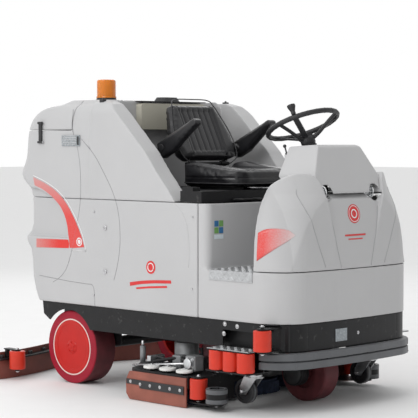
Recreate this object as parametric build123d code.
from build123d import *

import math
import os

# Large ride-on scrubber-dryer, in millimetres: +X forward, +Y to the driver's left, +Z up.
# Every X station below is measured from the rear axle. SHIFT moves the whole machine at
# export, so that the origin lies on the floor under the middle of the overall length.

# --- overall sizes ---
REAR_REACH = 600.0        # rear axle to the rearmost squeegee blade
FRONT_REACH = 1631.0      # rear axle to the front of the rubber bumper
BODY_HALF = 527.0         # half width of the moulded body
SQUEEGEE_HALF = 700.0     # half width over the squeegee blades
BODY_FRONT = 1606.0       # front face of the body
NOSE_REAR = 1458.0        # the bumper's bands run round the nose from here
SHIFT = (REAR_REACH - FRONT_REACH) / 2

# --- heights of the main seams ---
CHASSIS_LOW = 310.0       # lower edge of the chassis side plates
CHASSIS_TOP = 443.0       # the body stands on the chassis here
FLOOR_TOP = 686.0         # footwell floor, under its tread plate
FRONT_SEAM = 694.0        # front upper shell stands here
HOOD_TOP = 1064.0         # top of the nose panel, under the column's cowl
TANK_SEAM = 1016.0        # recovery tank stands on the solution tank
LID_SEAM = 1389.0         # lower edge of the tank lid
TANK_TOP = 1542.0
LID_FRONT = 47.0          # front edge of the tank lid
LID_HINGE = (48.5, 1551.0)     # X and Z of the lid's hinge pin
WING_IN = 420.0           # inner face of the tank's wings, either side of the seat
# height and plan radius of the nose's front corners
NOSE_CORNERS = ((690, 185), (793, 221), (902, 267), (1000, 344), (1071, 430), (1200, 515))
LAMP_X = 1528.0           # front rim of the headlights
LAMP_Y = 186.0
LAMP_Z = 1070.0
TANK_FRONT = 1008.0       # the solution tank ends here, at the pedestal
# --- shells and play ---
WALL = 8.0                # rotomoulded tank wall
COVER = 5.0               # thinner front covers
POCKET = 26.0             # depth of the hand-hold in the tank's rear corner
GAP = 1.5                 # visible line between two fixed panels
CLEAR = 3.0               # room between a moving panel and its neighbour
RUN = 0.05                # radial play of a shaft in its bore
FLOAT = 2.0               # brushes and blades just kiss the floor

# --- rear wheels ---
WHEEL_R = 200.0
WHEEL_W = 145.0
WHEEL_OUT = 487.0         # outer face of the wheel from the centre plane
HUB_R = 148.0
AXLE_R = 20.0

# --- drive and steering ---
DRIVE_X = 1300.0
DRIVE_R = 150.0
DRIVE_W = 110.0
DRIVE_HUB_R = 105.0
DRIVE_AXLE_R = 16.0
STEM_R = 30.0
FORK_CROWN = 322.0        # underside of the fork's crown
WHEEL_TILT = 23.0         # steering wheel plane above the horizontal
RIM_C = (1247.0, 0.0, 1412.0)
RIM_R = 184.0
RIM_T = 13.0
DISH = 85.0               # hub sits this far below the rim's plane
KNOB_TURN = 300.0         # where the spinner knob stands on the rim
COLUMN_R = 26.0
SPIGOT_R = 10.0

# --- casters ---
CASTER_X = 1330.0
CASTER_Y = 450.0
CASTER_TRAIL = 58.0
CASTER_R = 62.0
CASTER_W = 38.0
CASTER_AXLE_Z = 94.0
CASTER_TOP = 186.0
CASTER_PIN_R = 10.0

# --- guide rollers ---
ROLLER_R = 44.0
ROLLER_H = 100.0
ROLLER_PIN_R = 8.0
STEP_TOP = 318.0
STEP_ROLLER_Z = 212.0
STEP_ROLLER_Y = 600.0
STEP_ROLLER_X = (1222.0, 1315.0, 1408.0)
CORNER_ROLLER = (1503.0, 586.0, 323.0)

# --- brush deck ---
BRUSH_R = 203.0
BRUSH_PITCH = 412.0
BRUSH_X = 818.0
DECK_REAR = 596.0
DECK_FRONT = 1040.0
DECK_HALF = 630.0
DECK_TOP = 160.0
DECK_PLATE = 8.0
SKIRT_T = 8.0
MOTOR_R = 62.0
MOTOR_TOP = 300.0
DECK_LIFT = 60.0          # how far the deck travels up; the arms are set out for it
SHAFT_R = 12.0
DECK_ROLLER = (1090.0, 600.0, 51.0)
BUFFER = (1212.0, 598.0, 40.0)
BUFFER_R = 53.0
BUFFER_H = 75.0
ARM_PIVOT = (430.0, 352.0)     # X and Z of the lift arms' pivot on the chassis
ARM_END = (690.0, 214.0)       # X and Z of the arms' pin at the deck
ARM_Y = 235.0

STRAP = (-204.0, 1322.0)       # X and Z of the lid strap's foot

# --- squeegee ---
SQ_PIVOT = (-225.0, 300.0)     # X and Z of the lift hinge
SQ_SWING_X = -455.0
SQ_CENTRE = -566.0             # middle line of the body on the centre plane
SQ_BODY_T = 26.0
SQ_LOW = 34.0
SQ_TOP = 116.0
BLADE_T = 5.0
BLADE_TOP = 148.0
SQ_ROLLER = (-318.0, 612.0, 60.0)

# --- seat group ---
DECK_HINGE = (1032.0, 1024.0)  # X and Z of the seat deck's front hinge
SEAT_DECK_TOP = 1076.0
CUSHION_LOW = 1097.0
CUSHION_TOP = 1182.0
CUSHION_REAR = 592.0
CUSHION_FRONT = 1015.0
CUSHION_HALF = 240.0
RECLINE = (566.0, 1206.0)      # X and Z of the backrest hinge
BACK_FOOT = (600.0, 1240.0)    # lower front edge of the backrest
BACK_HEAD = (452.0, 1538.0)    # upper front edge of the backrest
BACK_T = 84.0
ARM_REST = (532.0, 1292.0)     # X and Z of the armrest hinge
ARM_REST_Y = 290.0
ARM_REST_W = 56.0
ARM_REST_LEN = 285.0
ARM_REST_RISE = 26.0

# --- controls ---
ACCEL_HINGE = (1266.0, -150.0, 704.0)
ACCEL_RISE = 38.0
BRAKE_HINGE = (1358.0, 120.0, 940.0)
LEVER_HINGE = (1290.0, -164.0, 1246.0)
LEVER_LEAN = 20.0

# --- beacon ---
BEACON = (125.0, 340.0)
BEACON_LOW = 1538.0
BEACON_R = 51.5
BEACON_TOP = 1663.0


# ---------------------------------------------------------------- helpers
def block(x0, x1, y0, y1, z0, z1):
    """Box between two corners."""
    centre = Pos((x0 + x1) / 2, (y0 + y1) / 2, (z0 + z1) / 2)
    return centre * Box(x1 - x0, y1 - y0, z1 - z0)


def upright(x, y, z, radius, height):
    """Cylinder that stands on the point."""
    return Pos(x, y, z + height / 2) * Cylinder(radius, height)


def across(x, y, z, radius, length):
    """Cylinder along Y, centred on the point."""
    return Pos(x, y, z) * Rot(90, 0, 0) * Cylinder(radius, length)


def along(x, y, z, radius, length):
    """Cylinder along X, centred on the point."""
    return Pos(x, y, z) * Rot(0, 90, 0) * Cylinder(radius, length)


def outline(points, radius=0.0, inset=0.0):
    """Closed outline with one corner radius, drawn in if asked."""
    face = Polygon(*points, align=None)
    if radius:
        face = fillet(face.vertices(), radius)
    if inset:
        face = offset(face, -inset)
    return face


def slab(face, z0, z1):
    """Outline in plan, raised from z0 to z1."""
    return extrude(Pos(0, 0, z0) * face, amount=z1 - z0, dir=(0, 0, 1))


def side_prism(face, y0, y1):
    """Outline seen from the side, X and Z, spread from y0 to y1."""
    return extrude(Pos(0, y0, 0) * (Plane.XZ * face), amount=y1 - y0, dir=(0, 1, 0))


def front_prism(face, x0, x1):
    """Outline seen from the front, Y and Z, spread from x0 to x1."""
    return extrude(Pos(x0, 0, 0) * (Plane.YZ * face), amount=x1 - x0, dir=(1, 0, 0))


def mirrored(shape):
    return mirror(shape, about=Plane.XZ)


def pair(shape):
    """The shape and its mirror image on the other side."""
    return shape + mirrored(shape)


def rounded_plan(x_rear, x_front, half, rear_r, front_r):
    """Plan rectangle with its own corner radius at each end."""
    corners = [(x_rear, -half), (x_front, -half), (x_front, half), (x_rear, half)]
    face = Polygon(*corners, align=None)
    rear = [v for v in face.vertices() if v.X < (x_rear + x_front) / 2]
    face = fillet(rear, rear_r)
    if front_r:
        front = [v for v in face.vertices() if v.X > x_front - 1]
        face = fillet(front, front_r)
    return face


def stack(sections, ruled=False):
    """Loft through plan outlines, given as (z, face)."""
    return loft([Pos(0, 0, z) * face for z, face in sections], ruled=ruled)


# ---------------------------------------------------------------- chassis
def side_plate():
    """Chassis side plate with the wheel arch and the toe recess over the step."""
    shape = [
        (-215, CHASSIS_TOP), (-205, 372), (-150, 338), (-100, CHASSIS_LOW),
        (1432, CHASSIS_LOW), (1432, CHASSIS_TOP),
    ]
    plate = side_prism(outline(shape), BODY_HALF - 22, BODY_HALF - 14)
    arch = across(0, BODY_HALF, WHEEL_R, WHEEL_R + 10, 80)
    recess = block(1172, 1425, 0, BODY_HALF, CHASSIS_LOW + 8, 398)
    return plate - arch - recess


def make_chassis():
    rail = block(-250, 1185, 268, 326, 345, 425)
    rail -= block(-249, 1184, 274, 320, 351, 419)
    side = side_plate() + rail
    for x in (-200, 250, 600, 1060):
        side += block(x - 18, x + 18, 320, BODY_HALF - 20, 404, CHASSIS_TOP)
    side += block(-50, 50, 300, 322, 160, 350)
    stub_end = WHEEL_OUT - 18
    side += across(0, (300 + stub_end) / 2, WHEEL_R, AXLE_R, stub_end - 300)
    side += block(1165, 1430, BODY_HALF - 75, BODY_HALF - 67, 190, CHASSIS_TOP)
    side += block(1165, 1430, BODY_HALF - 75, BODY_HALF - 14, 396, 404)
    side += step_bracket()
    side += caster_mount()
    frame = pair(side) + mirrored(step_posts() + corner_bracket())
    for x in (-232, 380, 1020):
        frame += block(x - 18, x + 18, -270, 270, 352, 425)
    frame += block(370, 1005, -338, 338, 425, CHASSIS_TOP)
    frame += across(0, 0, WHEEL_R, 30, 610)
    frame += block(1180, 1574, -300, 300, 404, CHASSIS_TOP)
    frame += block(1560, BODY_FRONT - 13, -60, 60, 404, CHASSIS_TOP)
    frame += block(1172, 1200, -460, 460, 404, CHASSIS_TOP)
    frame += upright(DRIVE_X, 0, 350, 58, CHASSIS_TOP - 350)
    frame -= upright(DRIVE_X, 0, 340, STEM_R + RUN, 85)
    for y in (-150, 150):
        frame += block(430 - 26, 430 + 26, y - 6, y + 6, 325, 430)
    frame += across(ARM_PIVOT[0], 0, ARM_PIVOT[1], 12, 2 * ARM_Y + 24)
    for y in (-62, 62):
        frame += block(SQ_PIVOT[0] - 24, SQ_PIVOT[0] + 6, y - 5, y + 5, 278, 360)
    frame += across(SQ_PIVOT[0], 0, SQ_PIVOT[1], 11, 170)
    return frame


def step_bracket():
    """Black steel step outboard of the side plate."""
    out = STEP_ROLLER_Y + 34
    low = STEP_ROLLER_Z - 8
    tray = block(1172, 1450, BODY_HALF - 70, out, STEP_TOP - 8, STEP_TOP - 4)
    foot = block(1172, 1450, BODY_HALF - 70, out, low, low + 6)
    wall = block(1172, 1450, BODY_HALF - 14, BODY_HALF - 6, low, STEP_TOP - 4)
    return tray + foot + wall


def step_posts():
    """Pins of the three rollers under the step."""
    low = STEP_ROLLER_Z - 8
    posts = None
    for x in STEP_ROLLER_X:
        post = upright(x, STEP_ROLLER_Y, low - 4, ROLLER_PIN_R, STEP_TOP - low - 2)
        posts = post if posts is None else posts + post
    return posts


def caster_mount():
    """Plate and stud that the caster's fork turns on."""
    plate = block(1262, 1398, CASTER_Y - 52, CASTER_Y + 60, CASTER_TOP + 2, CASTER_TOP + 10)
    web = block(1262, 1398, CASTER_Y - 2, CASTER_Y + 6, CASTER_TOP + 10, 404)
    stud = upright(CASTER_X, CASTER_Y, CASTER_TOP - 22, CASTER_PIN_R, 30)
    return plate + web + stud


def corner_bracket():
    """Two ears that hold the high corner roller."""
    x, y, z = CORNER_ROLLER
    ears = None
    for low in (z - 9, z + ROLLER_H + 3):
        ear = block(x - 26, x + 26, BODY_HALF - 60, y, low, low + 6)
        ear += upright(x, y, low, 26, 6)
        ears = ear if ears is None else ears + ear
    low, high = z - 9, z + ROLLER_H + 9
    ears += block(x - 26, x + 26, BODY_HALF - 60, BODY_HALF - 54, low, high)
    ears += upright(x, y, low - 4, ROLLER_PIN_R, high - low + 8)
    return ears + block(x - 26, x + 26, 290, BODY_HALF - 58, 404, high)


def front_outline(inset=0.0):
    """Plan of the nose: big corner radii and a slightly bowed front."""
    face = rounded_plan(900, BODY_FRONT, BODY_HALF, 5, 185)
    bow = Pos(BODY_FRONT - 3800, 0) * Circle(3800)
    face = face & bow
    if inset:
        face = offset(face, -inset)
    return face


def nose_band(inner, outer, x_rear, z0, z1):
    """Strip that follows the nose between two insets of its outline."""
    ring = front_outline(inner) - front_outline(outer)
    keep = Pos((x_rear + 2000) / 2, 0) * Rectangle(2000 - x_rear, 2400)
    return slab(ring & keep, z0, z1)


def make_bumper_plate():
    plate = nose_band(4, 12, NOSE_REAR, CHASSIS_LOW - 3, CHASSIS_TOP)
    x, y, z = CORNER_ROLLER
    return plate - mirrored(block(x - 60, x + 34, BODY_HALF - 90, y, z - 12, z + ROLLER_H + 12))


def make_bumper_rubber():
    """Double-bead rubber strip below the plate."""
    depth = FRONT_REACH - BODY_FRONT
    base = nose_band(-6, 12, NOSE_REAR, 223, 305)
    bead = nose_band(-depth, -6, NOSE_REAR, 226, 262) + nose_band(-depth, -6, NOSE_REAR, 268, 303)
    return base + bead


# ---------------------------------------------------------------- body shells
def tank_lower_mass():
    """Solution tank: rounded rear corners, a lip low down and a waist above it."""
    rear = [(CHASSIS_TOP, -285), (500, -312), (576, -333), (660, -338), (730, -352), (768, -386),
            (796, -390), (826, -350), (870, -332), (940, -330), (TANK_SEAM, -336)]
    sections = [(z, rounded_plan(x, 1300, BODY_HALF, 90, 90)) for z, x in rear]
    return stack(sections, ruled=True) & block(-600, TANK_FRONT, -600, 600, 0, 2000)


def grip_pocket():
    """Scooped hand-hold at the rear corner, open to the back."""
    shape = [(-460, 1062), (-254, 1068), (-151, 1037), (-49, 979), (5, 890), (25, 800), (-460, 800)]
    return side_prism(outline(shape, 18), BODY_HALF - POCKET, BODY_HALF + 40)


def make_solution_tank():
    """Open-topped tank: a trough across the rear and a saddle on each side of the batteries."""
    low = CHASSIS_TOP + WALL
    trough = slab(rounded_plan(-262, 320, BODY_HALF - POCKET - WALL, 60, 10), low, 2000)
    saddle = block(300, TANK_FRONT - WALL, 352, BODY_HALF - WALL, low, 2000)
    bay = block(360, TANK_FRONT + 20, -344, 344, CHASSIS_TOP - 1, 2000)
    return tank_lower_mass() - trough - pair(saddle) - bay - pair(grip_pocket())


def recovery_block():
    """Upper tank: bulged low down, drawn in towards the top."""
    rear = [(TANK_SEAM + GAP, -336, 0), (1060, -352, 0), (1110, -412, 0), (1150, -432, 0),
            (1200, -408, 0), (1268, -386, 0), (LID_SEAM, -370, 2), (1440, -350, 8),
            (1485, -310, 22), (1515, -240, 44), (1532, -150, 72), (TANK_TOP, -40, 110)]
    sections = [(z, rounded_plan(x, 262, BODY_HALF - draw, 95, 95)) for z, x, draw in rear]
    return stack(sections)


def recovery_hollow():
    """Space inside the upper tank, from its floor up into the lid."""
    low = TANK_SEAM + GAP + WALL
    front = 262 - WALL
    half = BODY_HALF - WALL
    sections = [(low, -322, half - POCKET), (1100, -330, half - POCKET), (1120, -360, half - 2),
                (1430, -340, half - 6), (1480, -296, half - 24), (1510, -220, half - 50),
                (1528, -120, half - 84)]
    faces = [(z, rounded_plan(x, front, y, 85, 85)) for z, x, y in sections]
    return stack(faces, ruled=True)


def wing(inset):
    """Side wing that slopes down beside the seat."""
    shape = [(200, TANK_SEAM + GAP), (200, TANK_TOP), (300, TANK_TOP), (350, 1526), (412, 1474),
             (480, 1409), (625, 1273), (710, 1170), (800, 1073), (845, TANK_SEAM + GAP)]
    body = side_prism(outline(shape, 0, inset), WING_IN + inset, BODY_HALF - inset)
    half = BODY_HALF - inset
    section = [(-half, 900), (half, 900), (half, TANK_TOP - inset), (-half, TANK_TOP - inset)]
    face = Polygon(*section, align=None)
    top = [v for v in face.vertices() if v.Y > 1000]
    return body & front_prism(fillet(top, 70), 0, 1000)


def lid_zone(play):
    """Space that the lid takes: the rear cap above the seam."""
    return block(-700, LID_FRONT + play, -700, 700, LID_SEAM - play, 2000)


def recovery_shell():
    mass = recovery_block() + pair(wing(0))
    return mass - recovery_hollow() - pair(wing(WALL))


def make_recovery_tank(shell):
    """Tank body with the ears and pins of the lid's two hinges."""
    x, z = LID_HINGE
    tank = shell - lid_zone(CLEAR) - pair(grip_pocket())
    for y in (60, 140):
        ear = block(x - 6, x + 34, y - 4, y + 4, z - 6, z + 6)
        ear += block(x + 8, x + 34, y - 4, y + 4, TANK_TOP - 4, z)
        tank += pair(ear)
    return tank + pair(across(x, 100, z, 3, 88))


def make_tank_lid(shell):
    """Rear cap of the tank, with the barrels of its hinges."""
    x, z = LID_HINGE
    barrel = across(x, 100, z, 6, 68) + block(x - 40, x - 2, 66, 134, TANK_TOP - 4, z)
    barrel -= across(x, 100, z, 3 + RUN, 90)
    return (shell & lid_zone(0)) + pair(barrel)


def make_inspection_cover():
    """Pale box on the front of the recovery tank, behind the seat."""
    face = outline([(-245, 1392), (245, 1392), (245, 1534), (-245, 1534)], 16)
    cover = front_prism(face, 262, 304)
    inner = outline([(-235, 1402), (235, 1402), (235, 1524), (-235, 1524)], 10)
    return cover - front_prism(inner, 262, 298)


def make_filter_cap():
    """Low dark dome on a thin rim, on top of the inspection cover."""
    rim = block(190, 306, -250, 250, TANK_TOP, TANK_TOP + 5)
    dome = loft([
        Pos(248, 0, TANK_TOP + 5) * RectangleRounded(100, 150, 40),
        Pos(248, 0, TANK_TOP + 28) * RectangleRounded(76, 122, 34),
    ])
    return rim + dome


def lower_front_mass(inset):
    """Nose below the seam, and the sill under the footwell."""
    keep = Pos(1512, 0) * Rectangle(1000, 2000)
    plan = (front_outline() & keep)
    if inset:
        plan = offset(plan, -inset)
    return slab(plan, CHASSIS_TOP, FRONT_SEAM - GAP)


def make_lower_front():
    """Shell with the footwell floor as its top and the pedestal wall at its rear."""
    outer = lower_front_mass(0)
    outer -= block(1078, 1386, -700, 700, FLOOR_TOP, 900)
    outer += pedestal(0)
    inner = lower_front_mass(COVER)
    inner -= block(1078 - COVER, 1386 + COVER, -700, 700, FLOOR_TOP - COVER, 900)
    inner = Pos(0, 0, -COVER) * inner + block(1386, 1560, -400, 400, 600, 700)
    shell = outer - inner - pedestal(COVER)
    return shell - block(1000, 1078 - COVER, -330, 330, 0, 2000)


def pedestal(inset):
    """Wall across the front of the battery bay, with round vertical corners."""
    x_rear = 1012 - (20 if inset else 0)
    face = rounded_plan(x_rear, 1078 - inset, BODY_HALF - inset, 2, 40)
    return slab(face, 600, TANK_SEAM - (0 if not inset else -20))


def drawn_in(points, centre, inset):
    """The points, each moved towards the centre by the inset."""
    moved = []
    for x, z in points:
        reach = math.hypot(x - centre[0], z - centre[1])
        keep = 1 - inset / reach
        moved.append((centre[0] + (x - centre[0]) * keep, centre[1] + (z - centre[1]) * keep))
    return moved


def pod_mass(inset):
    """One front fender: domed in side view and in front view."""
    low = FRONT_SEAM
    dome = drawn_in([(1400, 930), (1406, 1030), (1424, 1110), (1466, 1158), (1516, 1170),
                     (1566, 1146), (1598, 1075), (1610, 960)], (1490, 900), inset)
    rear, nose = 1386 + inset, 1620 - inset
    side = Spline(*dome) + Polyline(dome[-1], (nose, low), (rear, low), dome[0])
    crown = drawn_in([(240, 1120), (268, 1158), (310, 1172), (370, 1158), (440, 1106), (492, 1020),
                      (520, 900), (532, 780)], (340, 800), inset)
    near, far = 160 + inset, 540
    front = Spline(*crown) + Polyline(crown[-1], (far, low), (near, low), (near, 850),
                                      (205 + inset, 1010), crown[0])
    return side_prism(make_face(side), 0, 600) & front_prism(make_face(front), 1300, 1700)


def hood_mass(inset):
    """Nose panel between the fenders, and the bulkhead behind it."""
    shape = [(1396, FRONT_SEAM), (1396, HOOD_TOP), (1540, HOOD_TOP), (1572, 1040), (1590, 940),
             (1598, 830), (1604, FRONT_SEAM)]
    return side_prism(outline(shape, 0, inset), -262 + inset, 262 - inset)


def corner_mass(inset):
    """Nose whose front corners grow rounder towards the top."""
    sections = []
    for z, radius in NOSE_CORNERS:
        face = rounded_plan(900, BODY_FRONT + 6 - inset, BODY_HALF - inset, 5, radius - inset)
        sections.append((z, face))
    bow = slab(Pos(BODY_FRONT - 3800, 0) * Circle(3800 - inset), FRONT_SEAM, 1300)
    return stack(sections, ruled=True) & bow


def nose_mass(inset):
    body = pair(pod_mass(inset)) + hood_mass(inset)
    return body & corner_mass(inset)


def lamp_axis(radius, x0, x1):
    return pair(along((x0 + x1) / 2, LAMP_Y, LAMP_Z, radius, x1 - x0))


def make_front_fenders():
    """Hollow upper nose, open below."""
    shell = nose_mass(0) - Pos(0, 0, -COVER - 1) * nose_mass(COVER)
    shell -= lamp_axis(40, LAMP_X - 40, 1700)
    return shell - column_hole(44)


def shroud_mass(inset):
    """Cowl over the steering column."""
    side = [(1302, 1150), (1300, 1300), (1470, 1310), (1492, 1300), (1576, 1066), (1420, 1040)]
    front = [(-252, 1000), (252, 1000), (248, 1160), (196, 1250), (160, 1311), (-160, 1311),
             (-196, 1250), (-248, 1160)]
    body = side_prism(outline(side, 12, inset), -300, 300)
    return body & front_prism(outline(front, 24, inset), 1200, 1700)


def make_column_shroud():
    shell = shroud_mass(0) - Pos(0, 0, -10) * shroud_mass(COVER)
    shell -= nose_mass(0)
    shell -= lamp_axis(42, LAMP_X - 40, 1700)
    shell -= column_hole(COLUMN_R + 6)
    return shell - block(1290, 1312, -140, 140, 1172, 1262)


def make_headlights():
    """Two round lamps: bowl, rim and lens in one housing each."""
    bowl = lamp_axis(36, LAMP_X - 38, LAMP_X)
    bowl -= lamp_axis(31, LAMP_X - 30, LAMP_X + 1)
    bulb = pair(Pos(LAMP_X - 24, LAMP_Y, LAMP_Z) * Sphere(9) + along(LAMP_X - 29, LAMP_Y, LAMP_Z, 6, 12))
    lens = lamp_axis(31, LAMP_X - 7, LAMP_X - 3)
    return bowl + bulb + lens


# ---------------------------------------------------------------- steering
def wheel_frame():
    """Plane of the steering wheel's rim; its normal points back and up at the driver."""
    tilt = math.radians(WHEEL_TILT)
    normal = (-math.sin(tilt), 0, math.cos(tilt))
    return Plane(origin=RIM_C, x_dir=(math.cos(tilt), 0, math.sin(tilt)), z_dir=normal)


def column_hole(radius):
    return wheel_frame() * Pos(0, 0, -DISH - 250) * Cylinder(radius, 460)


def make_steering_column():
    """Fixed tube with the wheel's spigot, and the foot that stands on the hood's bulkhead."""
    frame = wheel_frame()
    tube = frame * Pos(0, 0, -DISH - 160) * Cylinder(COLUMN_R, 250)
    spigot = frame * Pos(0, 0, -DISH - 16) * Cylinder(SPIGOT_R, 50)
    foot = block(1376, 1500, -52, 52, HOOD_TOP, HOOD_TOP + 8)
    return tube + spigot + foot


def make_dash_panel():
    """Driver's panel on the rear of the cowl, with gauge rings and a key barrel."""
    panel = block(1288, 1300, -138, 138, 1174, 1260)
    panel += along(1284, -70, 1218, 24, 10) + along(1284, 70, 1218, 24, 10)
    panel += along(1282, 112, 1200, 9, 14)
    panel -= column_hole(COLUMN_R + 1)
    return panel - along(1290, -112, 1200, 8, 40)


def make_steering_wheel():
    """Rim, three dished spokes and hub on the column's spigot."""
    frame = wheel_frame()
    rim = Torus(RIM_R, RIM_T)
    hub = Pos(0, 0, -DISH + 2) * Cylinder(34, 46)
    wheel = rim + hub
    run = RIM_R - 30
    rise = DISH - 10
    slope = math.degrees(math.atan2(rise, run))
    spoke = Pos(24 + run / 2, 0, -DISH + 8 + rise / 2) * Rot(0, -slope, 0)
    spoke *= Box(math.hypot(run, rise), 28, 11)
    for angle in (0, 120, 240):
        wheel += Rot(0, 0, angle + KNOB_TURN) * spoke
    wheel -= Pos(0, 0, -DISH - 20) * Cylinder(SPIGOT_R + RUN, 60)
    pin = Pos(*knob_place()) * Pos(0, 0, 6) * Cylinder(5, 34)
    return frame * (wheel + pin)


def knob_place():
    """Spinner knob's place on the rim, in the wheel's own plane."""
    angle = math.radians(KNOB_TURN)
    return RIM_R * math.cos(angle), RIM_R * math.sin(angle), 0


def make_spinner_knob():
    profile = Polyline((5 + RUN, 16), (12, 16), (12, 32), (21, 56), (21, 64), (5 + RUN, 66),
                       close=True)
    knob = revolve(Plane.XZ * make_face(profile), Axis.Z)
    knob += Pos(0, 0, 62) * Cylinder(20, 8)
    knob -= Pos(0, 0, 20) * Cylinder(5 + RUN, 20)
    return wheel_frame() * Pos(*knob_place()) * knob


def make_drive_fork():
    """Fork, crown and stem of the steered drive wheel."""
    inner = DRIVE_W / 2 + 8
    fork = upright(DRIVE_X, 0, FORK_CROWN, STEM_R, 92)
    fork += block(DRIVE_X - 60, DRIVE_X + 60, -inner - 16, inner + 16, FORK_CROWN, FORK_CROWN + 18)
    for side in (-1, 1):
        cheek = side_prism(outline([
            (DRIVE_X - 55, FORK_CROWN), (DRIVE_X + 55, FORK_CROWN), (DRIVE_X + 34, DRIVE_R - 30),
            (DRIVE_X - 34, DRIVE_R - 30)]), 0, 14)
        offset_y = inner + 2 if side > 0 else -inner - 16
        fork += Pos(0, offset_y, 0) * cheek
    fork += across(DRIVE_X, 0, DRIVE_R, DRIVE_AXLE_R, 2 * inner + 32)
    motor = across(DRIVE_X, -inner - 46, DRIVE_R, 62, 60)
    return fork + motor


def make_drive_hub():
    hub = across(DRIVE_X, 0, DRIVE_R, DRIVE_HUB_R, DRIVE_W)
    for side in (-1, 1):
        hub -= across(DRIVE_X, side * (DRIVE_W / 2), DRIVE_R, DRIVE_HUB_R - 22, 40)
    hub += across(DRIVE_X, 0, DRIVE_R, 40, DRIVE_W + 8)
    return hub - across(DRIVE_X, 0, DRIVE_R, DRIVE_AXLE_R + RUN, DRIVE_W + 60)


def ring_tyre(x, y, radius, width, bore, edge):
    """Solid tyre with rounded shoulders, its axis along Y."""
    half = width / 2
    section = Polygon((bore, -half), (radius, -half), (radius, half), (bore, half), align=None)
    outer = [v for v in section.vertices() if v.X > radius - 1]
    section = fillet(outer, edge)
    tyre = revolve(section, Axis.Y)
    return Pos(x, y, radius) * tyre


def make_drive_tyre():
    return ring_tyre(DRIVE_X, 0, DRIVE_R, DRIVE_W, DRIVE_HUB_R, 10)


# ---------------------------------------------------------------- rear wheels
def rear_hub(side):
    y = side * (WHEEL_OUT - WHEEL_W / 2)
    hub = across(0, y, WHEEL_R, HUB_R, WHEEL_W)
    hub -= across(0, side * (WHEEL_OUT - WHEEL_W), WHEEL_R, HUB_R - 16, 2 * (WHEEL_W - 40))
    hub += across(0, y - side * 10, WHEEL_R, 46, WHEEL_W - 20)
    hub -= across(0, y - side * 20, WHEEL_R, AXLE_R + RUN, WHEEL_W + 8)
    face = side * WHEEL_OUT
    hub -= across(0, face, WHEEL_R, 120, 6)
    hub += across(0, face - side * 2, WHEEL_R, 34, 8)
    for turn in range(5):
        angle = math.radians(72 * turn + 18)
        x = 24 * math.cos(angle)
        z = WHEEL_R + 24 * math.sin(angle)
        hub += across(x, face - side * 2, z, 4, 10)
    return hub


def rear_tyre(side):
    return ring_tyre(0, side * (WHEEL_OUT - WHEEL_W / 2), WHEEL_R, WHEEL_W, HUB_R, 8)


# ---------------------------------------------------------------- casters
def caster_fork():
    """Swivel head and two legs; it turns about the chassis stud."""
    z_axle = CASTER_AXLE_Z
    x_axle = CASTER_X - CASTER_TRAIL
    half = CASTER_W / 2 + 3
    head = upright(CASTER_X, CASTER_Y, CASTER_TOP - 18, 36, 18)
    crown = block(CASTER_X - 50, CASTER_X + 34, CASTER_Y - half - 4, CASTER_Y + half + 4,
                  CASTER_TOP - 22, CASTER_TOP - 18)
    shape = [(CASTER_X - 50, CASTER_TOP - 18), (CASTER_X + 34, CASTER_TOP - 18),
             (CASTER_X + 10, 140), (x_axle + 20, z_axle - 16), (x_axle - 20, z_axle - 16),
             (x_axle - 20, z_axle + 20)]
    legs = side_prism(outline(shape, 6), CASTER_Y + half, CASTER_Y + half + 4)
    legs += side_prism(outline(shape, 6), CASTER_Y - half - 4, CASTER_Y - half)
    pin = across(x_axle, CASTER_Y, z_axle, 6, 2 * half + 24)
    fork = head + crown + legs + pin
    return fork - upright(CASTER_X, CASTER_Y, CASTER_TOP - 30, CASTER_PIN_R + RUN, 40)


def caster_wheel():
    x_axle = CASTER_X - CASTER_TRAIL
    wheel = Pos(0, 0, CASTER_AXLE_Z - CASTER_R) * ring_tyre(
        x_axle, CASTER_Y, CASTER_R, CASTER_W, 6 + RUN, 6)
    for side in (-1, 1):
        wheel -= across(x_axle, CASTER_Y + side * CASTER_W / 2, CASTER_AXLE_Z, 44, 12)
        wheel += across(x_axle, CASTER_Y + side * (CASTER_W / 2 - 3), CASTER_AXLE_Z, 16, 8)
    return wheel - across(x_axle, CASTER_Y, CASTER_AXLE_Z, 6 + RUN, 80)


# ---------------------------------------------------------------- rollers
def roller(place, height=ROLLER_H):
    """Plastic guide roller with rounded rims and a through bore."""
    x, y, z = place
    body = Pos(x, y, z + height / 2) * Cylinder(ROLLER_R, height)
    body = fillet(body.edges().filter_by(GeomType.CIRCLE), 4)
    return body - upright(x, y, z - 1, ROLLER_PIN_R + RUN, height + 2)


def make_guide_rollers():
    """On the working side: three rollers under the step and one at the front corner."""
    rollers = roller(CORNER_ROLLER)
    for x in STEP_ROLLER_X:
        rollers += roller((x, STEP_ROLLER_Y, STEP_ROLLER_Z), STEP_TOP - 10 - STEP_ROLLER_Z)
    return mirrored(rollers)


# ---------------------------------------------------------------- brush deck
def deck_outline(inset=0.0):
    face = rounded_plan(DECK_REAR, DECK_FRONT, DECK_HALF, 70, 12)
    if inset:
        face = offset(face, -inset)
    return face


def brush_centres():
    return [(BRUSH_X, step * BRUSH_PITCH) for step in (-1, 0, 1)]


def make_deck_housing():
    deck = slab(deck_outline(), DECK_TOP - DECK_PLATE, DECK_TOP)
    deck += slab(deck_outline() - deck_outline(6), 96, DECK_TOP)
    for x, y in brush_centres():
        deck += upright(x, y, DECK_TOP, MOTOR_R, MOTOR_TOP - DECK_TOP)
        deck += upright(x, y, 80, SHAFT_R, DECK_TOP - 80)
    deck += pair(deck_horn())
    deck += pair(deck_lug())
    return deck


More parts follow.
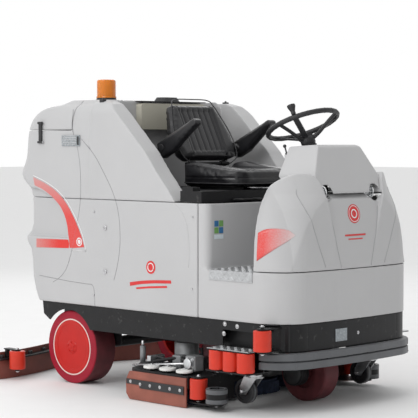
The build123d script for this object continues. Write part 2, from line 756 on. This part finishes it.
def deck_horn():
    """Front corner of the deck: two plates hold the roller, the lower one the buffer too."""
    rx, ry, rz = DECK_ROLLER
    bx, by, bz = BUFFER
    x, high = DECK_FRONT, rz + ROLLER_H + 9
    top = slab(outline([(x - 18, 480), (x - 18, 612), (rx, ry + 26), (rx + 26, ry + 10),
                        (rx + 26, 530), (1100, 480)]), high - 6, high)
    low = slab(outline([(x - 18, 480), (x - 18, 612), (rx, ry + 26), (bx, by + 24),
                        (bx + 24, by - 10), (bx, by - 60), (1110, 470)]), bz - 12, bz - 6)
    wall = block(x + 4, x + 10, 300, 540, bz - 24, high)
    horn = top + low + wall + block(x - 30, x + 10, 500, 540, 120, DECK_TOP)
    horn += upright(bx, by, bz - 10, 10, BUFFER_H)
    horn += upright(bx, by, bz, BUFFER_R, BUFFER_H) - upright(bx, by, bz + 50, 38, 30)
    return horn + upright(rx, ry, rz - 12, ROLLER_PIN_R, ROLLER_H + 24)


def deck_lug():
    """Ears on the deck with slots, in which the lift arms' pins ride."""
    x, z = ARM_END
    lug = block(x - 26, x + 50, ARM_Y - 24, ARM_Y - 16, DECK_TOP - 4, z + 22)
    slot = block(x - 10, x + 34, ARM_Y - 30, ARM_Y - 10, z - 8, z + 8)
    return lug - slot


def make_deck_arms():
    """Pair of lift arms on one cross tube."""
    ax, az = ARM_PIVOT
    ex, ez = ARM_END
    length = math.hypot(ex - ax, ez - az)
    pitch = math.degrees(math.atan2(ez - az, ex - ax))
    bar = Pos(ax, ARM_Y, az) * Rot(0, -pitch, 0) * Pos(length / 2, 0, 0) * Box(length, 14, 34)
    bar += across(ax, ARM_Y, az, 22, 20)
    bar += across(ex, ARM_Y - 10, ez, 6, 34)
    bar -= across(ax, ARM_Y, az, 12 + RUN, 40)
    return pair(bar)


def make_deck_skirts():
    """Rubber side skirts clamped outside the deck's rim."""
    shape = [(DECK_REAR + 30, 148), (DECK_REAR + 4, 100), (DECK_REAR + 6, 30), (DECK_REAR + 30, 3),
             (DECK_FRONT - 2, 3), (DECK_FRONT - 2, 150)]
    face = Polygon(*shape, align=None)
    face = fillet([v for v in face.vertices() if v.X < DECK_REAR + 40], 14)
    skirt = side_prism(face, DECK_HALF, DECK_HALF + SKIRT_T)
    strip = [(DECK_REAR + 12, 82), (DECK_REAR + 12, 108), (DECK_FRONT - 14, 108),
             (DECK_FRONT - 14, 66), (DECK_REAR + 110, 66), (DECK_REAR + 110, 82)]
    clamp = side_prism(outline(strip, 3), DECK_HALF + SKIRT_T, DECK_HALF + SKIRT_T + 5)
    return pair(skirt + clamp)


def brush(y):
    """Disc brush: drive plate over a thick ring of bristle."""
    plate = upright(BRUSH_X, y, 60, BRUSH_R - 10, 14)
    ring = upright(BRUSH_X, y, FLOAT, BRUSH_R, 58) - upright(BRUSH_X, y, 0, 92, 62)
    hub = upright(BRUSH_X, y, 74, 40, 16)
    return plate + ring + hub - upright(BRUSH_X, y, 50, SHAFT_R + RUN, 60)


# ---------------------------------------------------------------- squeegee
def squeegee_line(shift):
    """Bowed line of the squeegee: furthest back in the middle, straighter at the ends."""
    c = SQ_CENTRE + shift
    end = SQUEEGEE_HALF
    return [(c + 161, -end), (c + 137, -0.65 * end), (c + 47, -0.26 * end), (c, 0),
            (c + 47, 0.26 * end), (c + 137, 0.65 * end), (c + 161, end)]


def squeegee_strip(front, rear, z0, z1, trim=0.0):
    """Strip between two shifted copies of the line."""
    a = squeegee_line(front)
    b = squeegee_line(rear)
    face = make_face(Spline(*a) + Line(a[-1], b[-1]) + Spline(*b) + Line(b[0], a[0]))
    keep = Rectangle(3000, 2 * (SQUEEGEE_HALF - trim))
    return slab(face & keep, z0, z1)


def make_squeegee_body():
    half = SQ_BODY_T / 2
    body = squeegee_strip(half, -half, SQ_LOW, SQ_TOP, 12)
    body += squeegee_strip(half + 22, half, SQ_TOP - 8, SQ_TOP, 12)
    boss = block(SQ_CENTRE + 10, SQ_SWING_X + 20, -46, 46, SQ_TOP - 8, SQ_TOP)
    boss += upright(SQ_SWING_X, 0, SQ_TOP - 8, 26, 8)
    body += boss + upright(SQ_SWING_X, 0, SQ_TOP - 8, 9, 46)
    x, y, z = SQ_ROLLER
    line = SQ_CENTRE + 160
    ear = block(line - 8, x, y - 20, y + 20, z + ROLLER_H + 3, z + ROLLER_H + 9)
    ear += block(line - 8, line + 8, y - 12, y + 12, SQ_TOP - 8, z + ROLLER_H + 9)
    ear += upright(x, y, z + ROLLER_H + 3, 20, 6)
    ear += upright(x, y, z - 8, ROLLER_PIN_R, ROLLER_H + 14) + upright(x, y, z - 12, 12, 8)
    return body + pair(ear)


def make_squeegee_blades():
    half = SQ_BODY_T / 2
    front = squeegee_strip(half + BLADE_T, half, FLOAT, SQ_TOP - 12)
    rear = squeegee_strip(-half, -half - BLADE_T, FLOAT, BLADE_TOP)
    lip = squeegee_strip(-half - BLADE_T, -half - 2 * BLADE_T, FLOAT, FLOAT + 10)
    lip += squeegee_strip(-half - BLADE_T, -half - 2 * BLADE_T, BLADE_TOP - 10, BLADE_TOP)
    return front + rear + lip


def make_squeegee_arm():
    """Tow arm from the chassis hinge down to the swing pin."""
    px, pz = SQ_PIVOT
    z = SQ_TOP + 10
    arm = None
    for side in (-1, 1):
        bar = side_prism(outline([(px - 12, pz + 16), (px + 16, pz + 10), (px - 60, z),
                                  (SQ_SWING_X - 24, z), (SQ_SWING_X - 24, z + 14),
                                  (px - 76, z + 14)]), 0, 12)
        bar = Pos(0, 34 if side > 0 else -46, 0) * bar
        arm = bar if arm is None else arm + bar
    arm += across(px, 0, pz, 20, 84)
    arm += block(SQ_SWING_X - 22, SQ_SWING_X + 40, -40, 40, z + 1, z + 13)
    arm -= across(px, 0, pz, 11 + RUN, 200)
    return arm - upright(SQ_SWING_X, 0, z - 5, 9 + RUN, 40)


# ---------------------------------------------------------------- seat group
def make_seat_deck():
    """Steel deck over the battery bay, hinged at its front edge, with the seat runners."""
    x, z = DECK_HINGE
    plan = outline([(274, -408), (880, -408), (880, -520), (1030, -520), (1030, 520), (880, 520),
                    (880, 408), (274, 408)])
    deck = slab(plan, TANK_SEAM + 4, SEAT_DECK_TOP)
    deck -= slab(offset(plan, -4), 900, SEAT_DECK_TOP - 4)
    deck += across(x + 6, 0, z + 4, 7, 600)
    deck += block(x - 8, x + 8, -300, 300, z + 2, z + 8)
    for side in (-1, 1):
        deck += block(600, 960, side * 150 - 16, side * 150 + 16, SEAT_DECK_TOP, SEAT_DECK_TOP + 12)
    return deck + pair(block(892, 968, 467, 519, SEAT_DECK_TOP - 2, SEAT_DECK_TOP + 20))


def make_seat_frame():
    """Sliding seat pan with the uprights that carry the backrest hinge."""
    low = SEAT_DECK_TOP + 12.5
    top = CUSHION_LOW - 0.5
    pan = block(CUSHION_REAR + 20, 940, -190, 190, low, top)
    pan -= block(700, 860, -110, 110, low - 1, top + 1)
    bx, bz = RECLINE
    for side in (-1, 1):
        y = side * 120
        pan += block(bx - 18, CUSHION_REAR + 30, y - 20, y + 20, low, low + 8)
        pan += block(bx - 18, bx - 8, y - 20, y + 20, low, bz)
        pan += across(bx, y, bz, 14, 40)
    pan += across(bx, 0, bz, 9, 330)
    return pan


def make_seat_cushion():
    """Cushion with raised side bolsters."""
    front = [(-CUSHION_HALF, CUSHION_LOW), (CUSHION_HALF, CUSHION_LOW),
             (CUSHION_HALF, CUSHION_TOP + 32), (170, CUSHION_TOP + 32), (130, CUSHION_TOP),
             (-130, CUSHION_TOP), (-170, CUSHION_TOP + 32), (-CUSHION_HALF, CUSHION_TOP + 32)]
    body = front_prism(outline(front, 14), CUSHION_REAR, CUSHION_FRONT)
    plan = rounded_plan(CUSHION_REAR, CUSHION_FRONT, CUSHION_HALF, 50, 90)
    nose = side_prism(outline([
        (CUSHION_REAR, CUSHION_LOW), (CUSHION_FRONT, CUSHION_LOW), (CUSHION_FRONT, CUSHION_TOP - 8),
        (CUSHION_FRONT - 120, CUSHION_TOP + 6), (CUSHION_REAR + 90, CUSHION_TOP + 32),
        (CUSHION_REAR, CUSHION_TOP + 32)], 12), -300, 300)
    return body & slab(plan, 1000, 1400) & nose


def back_direction():
    """Unit vector up the backrest, and the one out of its front."""
    dx = BACK_HEAD[0] - BACK_FOOT[0]
    dz = BACK_HEAD[1] - BACK_FOOT[1]
    size = math.hypot(dx, dz)
    return (dx / size, dz / size), (dz / size, -dx / size)


def make_seat_back():
    """Backrest pad, with the hinge ears and the armrest studs of its frame."""
    (ux, uz), (nx, nz) = back_direction()
    foot, head = BACK_FOOT, BACK_HEAD
    rear = [(foot[0] - nx * BACK_T, foot[1] - nz * BACK_T),
            (head[0] - nx * 60, head[1] - nz * 60)]
    side = side_prism(outline([foot, head, rear[1], rear[0]], 16), -300, 300)
    front = [(-150, 1200), (-205, 1240), (-226, 1300), (-222, 1370), (-196, 1450), (-166, 1524),
             (-130, 1560), (130, 1560), (166, 1524), (196, 1450), (222, 1370), (226, 1300),
             (205, 1240), (150, 1200)]
    pad = side & front_prism(outline(front, 18), 200, 800)
    bx, bz = RECLINE
    for s in (-1, 1):
        y = s * 150
        pad += block(bx - 14, bx + 14, y - 5, y + 5, bz - 14, bz + 50)
        pad += across(ARM_REST[0], s * 258, ARM_REST[1], 8, 100)
    return pad - across(bx, 0, bz, 9 + RUN, 400)


def armrest(side):
    """Tapered padded armrest that folds up about the stud beside the backrest."""
    x, z = ARM_REST
    shape = [(-36, -52), (60, -54), (ARM_REST_LEN, 2), (ARM_REST_LEN + 8, 22), (ARM_REST_LEN - 8, 40),
             (50, 44), (-28, 40), (-44, 0)]
    pad = side_prism(outline(shape, 10), -ARM_REST_W / 2, ARM_REST_W / 2)
    inner = 232 - ARM_REST_Y
    pad += across(0, (inner - ARM_REST_W / 2) / 2, 0, 20, abs(inner + ARM_REST_W / 2))
    pad -= across(0, 0, 0, 8 + RUN, 200)
    pad = Pos(x, ARM_REST_Y, z) * Rot(0, -ARM_REST_RISE, 0) * pad
    return pad if side > 0 else mirrored(pad)


# ---------------------------------------------------------------- controls
def make_accelerator():
    """Flat treadle with the hinge barrel at its heel."""
    x, y, z = ACCEL_HINGE
    rise = math.radians(ACCEL_RISE)
    centre = Pos(x + 58 * math.cos(rise), y, z + 58 * math.sin(rise) + 8)
    plate = centre * Rot(0, -ACCEL_RISE, 0) * Box(120, 92, 8)
    return plate + across(x, y, z, 9, 92) - across(x, y, z, 4 + RUN, 200)


def make_brake():
    """Pad on a pendant lever."""
    x, y, z = BRAKE_HINGE
    plate = Pos(x - 13, y, z - 136) * Rot(0, -56, 0) * Box(84, 96, 8)
    stem = block(x - 6, x + 6, y - 8, y + 8, z - 144, z)
    return plate + stem + across(x, y, z, 14, 40) - across(x, y, z, 7 + RUN, 200)


def make_pedal_mounts():
    """Pins and ears, fixed to the floor and to the bulkhead, that the pedals turn on."""
    x, y, z = ACCEL_HINGE
    ears = across(x, y, z, 4, 120)
    for side in (-54, 54):
        ears += block(x - 12, x + 12, y + side - 4, y + side + 4, FLOOR_TOP + 4, z + 14)
    x, y, z = BRAKE_HINGE
    for side in (-26, 26):
        ears += block(x - 14, 1395, y + side - 4, y + side + 4, z - 18, z + 18)
    return ears + across(x, y, z, 7, 60) + block(1391, 1396, y - 38, y + 38, z - 30, z + 30)


def make_drive_lever():
    """Direction lever on the near side of the cowl, leaning back."""
    x, y, z = LEVER_HINGE
    stem = Pos(x, y, z) * Rot(0, -LEVER_LEAN, 0) * Pos(0, 0, 28) * Cylinder(4, 56)
    knob = Pos(x, y, z) * Rot(0, -LEVER_LEAN, 0) * Pos(0, 0, 60) * Sphere(9)
    return stem + knob + across(x, y, z, 9, 16) - across(x, y, z, 4 + RUN, 40)


def make_lever_mount():
    x, y, z = LEVER_HINGE
    ear = block(x - 6, x + 10, y - 18, y - 10, z - 14, z + 14)
    return ear + across(x, y - 2, z, 4, 22)


def make_stop_button():
    stem = along(1284, -112, 1200, 8 - 0.4, 30)
    return stem + along(1263, -112, 1200, 19, 12)


# ---------------------------------------------------------------- fittings
def make_tread_plates():
    """Aluminium chequer plates: footwell floor with its nosing, and the two steps."""
    floor = block(1080, 1384, -BODY_HALF, BODY_HALF, FLOOR_TOP, FLOOR_TOP + 4)
    lip = block(1092, 1384, BODY_HALF, BODY_HALF + 4, FLOOR_TOP - 46, FLOOR_TOP + 4)
    step = block(1176, 1452, BODY_HALF - 12, STEP_ROLLER_Y + 30, STEP_TOP - 4, STEP_TOP)
    return floor + pair(lip) + pair(step)


def make_body_fixings():
    """Quarter-turn fasteners, screws and catch plates, as on both sides."""
    parts = None
    spots = [(321, 868, 9), (320, 636, 9), (233, 950, 5), (228, 504, 5), (977, 947, 5),
             (973, 584, 5)]
    for x, z, radius in spots:
        head = across(x, BODY_HALF + 2.3, z, radius, 4)
        parts = head if parts is None else parts + head
    parts += block(-22, 34, BODY_HALF + 0.4, BODY_HALF + 4, 1301, 1360)
    parts += block(38, 96, BODY_HALF + 0.4, BODY_HALF + 4, 1301, 1360)
    return pair(parts + strap_ears()) + make_pedal_mounts() + make_lever_mount()


def strap_ears():
    """Ears and pin at the foot of the lid's strap."""
    x, z = STRAP
    y = BODY_HALF + 7.5
    ears = along(x, y, z, 2.5, 48)
    for side in (-22, 22):
        ears += block(x + side - 2, x + side + 2, BODY_HALF + 0.3, y + 5, z - 6, z + 6)
    return ears


def lid_strap(side):
    """Rubber strap that holds the lid, hinged low on the tank."""
    x, z = STRAP
    y = BODY_HALF + 7.5
    strap = block(x - 11, x + 11, y - 3, y + 4, z, z + 106)
    strap += along(x, y + 1, z + 106, 7, 34)
    strap += along(x, y, z, 6.5, 38)
    strap -= along(x, y, z, 2.5 + RUN, 60)
    return strap if side > 0 else mirrored(strap)


def beacon_frame(shape):
    return Pos(BEACON[0], -BEACON[1], 0) * shape


def make_beacon_base():
    foot = upright(0, 0, TANK_TOP, 64, 9) + upright(0, 0, TANK_TOP + 9, BEACON_R - 4, 12)
    post = upright(0, 0, BEACON_LOW + 20, 6, 34)
    return beacon_frame(foot + post)


def make_beacon_lens():
    low = BEACON_LOW + 13
    cup = upright(0, 0, low, BEACON_R, BEACON_TOP - low)
    cup = fillet(cup.edges().group_by(Axis.Z)[-1], 10)
    return beacon_frame(cup - upright(0, 0, low - 1, BEACON_R - 3, BEACON_TOP - low - 3))


def make_beacon_reflector():
    bowl = upright(0, 0, BEACON_LOW + 32, 14, 10)
    bowl += block(14, 20, -26, 26, BEACON_LOW + 34, BEACON_LOW + 86)
    bowl += block(0, 18, -6, 6, BEACON_LOW + 34, BEACON_LOW + 42)
    return beacon_frame(bowl - upright(0, 0, BEACON_LOW + 20, 6 + RUN, 40))


def make_battery_pack():
    """Traction cells in two rows, with their terminals."""
    cells = None
    for row in range(2):
        for place in range(4):
            x = 392 + place * 150
            y = -330 + row * 332
            cell = block(x, x + 146, y, y + 328, CHASSIS_TOP, 905)
            for dy in (80, 248):
                cell += upright(x + 73, y + dy, 905, 12, 18)
            cells = cell if cells is None else cells + cell
    return cells


def make_vacuum_motors():
    """Two suction fans that stand on the recovery tank's floor."""
    low = TANK_SEAM + GAP + WALL
    fan = upright(120, 170, low, 82, 90) + upright(120, 170, low + 90, 60, 110)
    return pair(fan)


# ---------------------------------------------------------------- assembly
def build():
    shell = recovery_shell()
    nodes = {
        "chassis_frame": make_chassis(),
        "bumper_plate": make_bumper_plate(),
        "bumper_rubber": make_bumper_rubber(),
        "lower_front_body": make_lower_front(),
        "front_fenders": make_front_fenders(),
        "column_shroud": make_column_shroud(),
        "headlights": make_headlights(),
        "solution_tank": make_solution_tank(),
        "recovery_tank": make_recovery_tank(shell),
        "inspection_cover": make_inspection_cover(),
        "filter_cap": make_filter_cap(),
        "battery_pack": make_battery_pack(),
        "vacuum_motors": make_vacuum_motors(),
        "tread_plates": make_tread_plates(),
        "body_fixings": make_body_fixings(),
        "steering_column": make_steering_column(),
        "dash_panel": make_dash_panel(),
        "guide_rollers": make_guide_rollers(),
        "beacon_base": make_beacon_base(),
        "beacon_lens": make_beacon_lens(),
        "beacon_reflector": make_beacon_reflector(),
        "tank_lid": make_tank_lid(shell),
        "lid_strap_right": lid_strap(-1),
        "lid_strap_left": lid_strap(1),
        "seat_deck": make_seat_deck(),
        "seat_frame": make_seat_frame(),
        "seat_cushion": make_seat_cushion(),
        "seat_back": make_seat_back(),
        "armrest_right": armrest(-1),
        "armrest_left": armrest(1),
        "steering_wheel": make_steering_wheel(),
        "spinner_knob": make_spinner_knob(),
        "accelerator_pedal": make_accelerator(),
        "brake_pedal": make_brake(),
        "drive_lever": make_drive_lever(),
        "stop_button": make_stop_button(),
        "drive_fork": make_drive_fork(),
        "drive_hub": make_drive_hub(),
        "drive_tyre": make_drive_tyre(),
        "deck_housing": make_deck_housing(),
        "deck_arms": make_deck_arms(),
        "deck_skirts": make_deck_skirts(),
        "squeegee_arm": make_squeegee_arm(),
        "squeegee_body": make_squeegee_body(),
        "squeegee_blades": make_squeegee_blades(),
    }
    for name, side in (("right", -1), ("left", 1)):
        nodes[f"rear_hub_{name}"] = rear_hub(side)
        nodes[f"rear_tyre_{name}"] = rear_tyre(side)
        fork = caster_fork()
        wheel = caster_wheel()
        nodes[f"caster_fork_{name}"] = fork if side > 0 else mirrored(fork)
        nodes[f"caster_wheel_{name}"] = wheel if side > 0 else mirrored(wheel)
        for label, place in (("squeegee", SQ_ROLLER), ("deck", DECK_ROLLER)):
            one = roller((place[0], side * place[1], place[2]))
            nodes[f"{label}_roller_{name}"] = one
    for name, step in (("right", -1), ("centre", 0), ("left", 1)):
        nodes[f"brush_{name}"] = brush(step * BRUSH_PITCH)
    return nodes


os.makedirs("parts", exist_ok=True)
for node, shape in build().items():
    export_step(Pos(SHIFT, 0, 0) * shape, f"parts/{node}.step")
